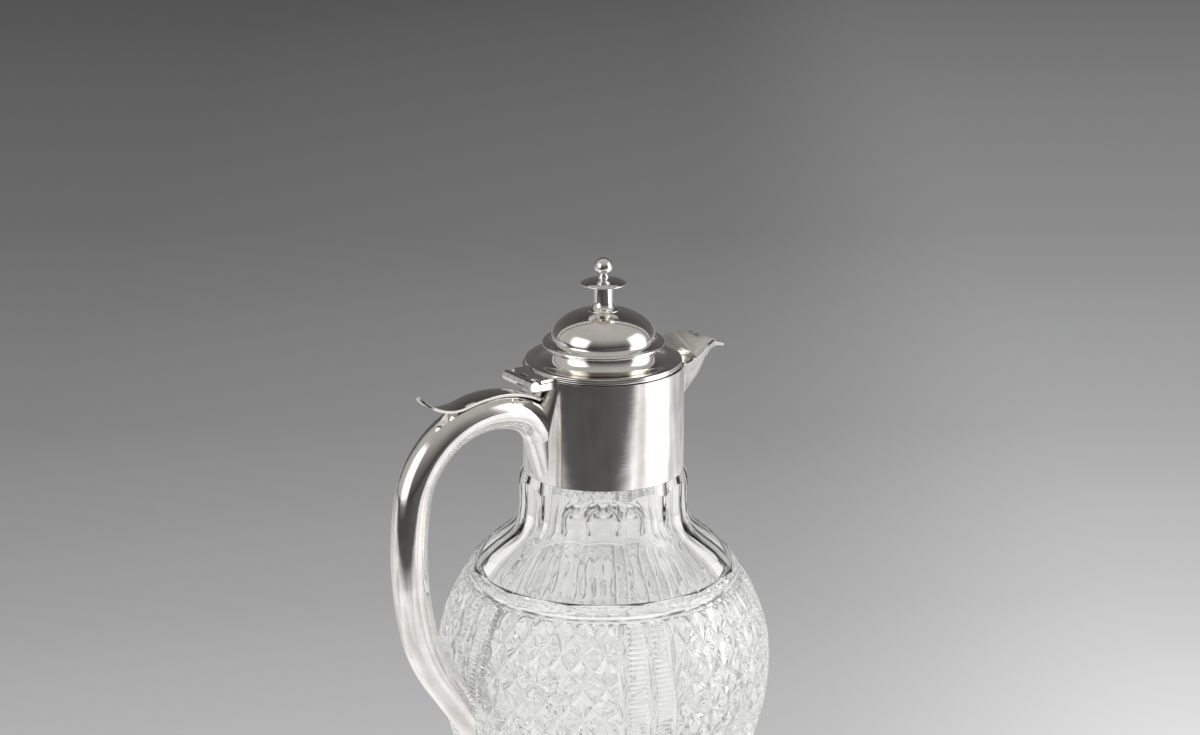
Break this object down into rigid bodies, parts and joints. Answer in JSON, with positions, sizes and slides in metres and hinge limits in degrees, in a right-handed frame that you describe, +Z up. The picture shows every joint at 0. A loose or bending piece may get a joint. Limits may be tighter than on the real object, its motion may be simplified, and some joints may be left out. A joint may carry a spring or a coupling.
{
  "type": "claret jug",
  "caption": "Round cut-glass jug with a fluted neck, a silver collar with spout, a hollow loop handle and a hinged domed lid with a finial.",
  "frame": {"origin": "middle of the base's underside, on the surface that the jug stands on", "axes": "+Z up through the finial; +X towards the spout, with the handle at -X; Y across the jug along the hinge pin"},
  "size_m": [0.1552, 0.1262, 0.2136],
  "materials": {
    "silver": "polished",
    "cut_glass": "polished, cut",
    "plaster": "matte",
    "brass": "satin"
  },
  "bodies": {
    "jug": {"glass_body": "cut_glass", "neck_plaster": "plaster", "collar": "silver", "spout": "silver", "hinge_bracket": "silver", "bracket_knuckles": "silver", "hinge_pin": "silver", "handle_near_half": "silver", "handle_far_half": "silver", "handle_plaster": "plaster", "thumb_rest": "silver"},
    "lid": {"lid_flange": "silver", "lid_rim_wire": "silver", "lid_bezel": "silver", "lid_bead": "silver", "lid_dome": "silver", "lid_hinge_plate": "silver", "lid_knuckles": "silver", "finial_stem": "silver", "finial_saucer": "silver", "finial_ball": "silver", "finial_stud": "brass", "finial_washer": "brass", "finial_nut": "brass"}
  },
  "joints": [
    {"name": "lid_hinge", "type": "hinge", "parent": "jug", "child": "lid", "pos_m": [-0.0366, 0, 0.1726], "axis": [0, -1, 0], "range_deg": [0, 105]}
  ]
}
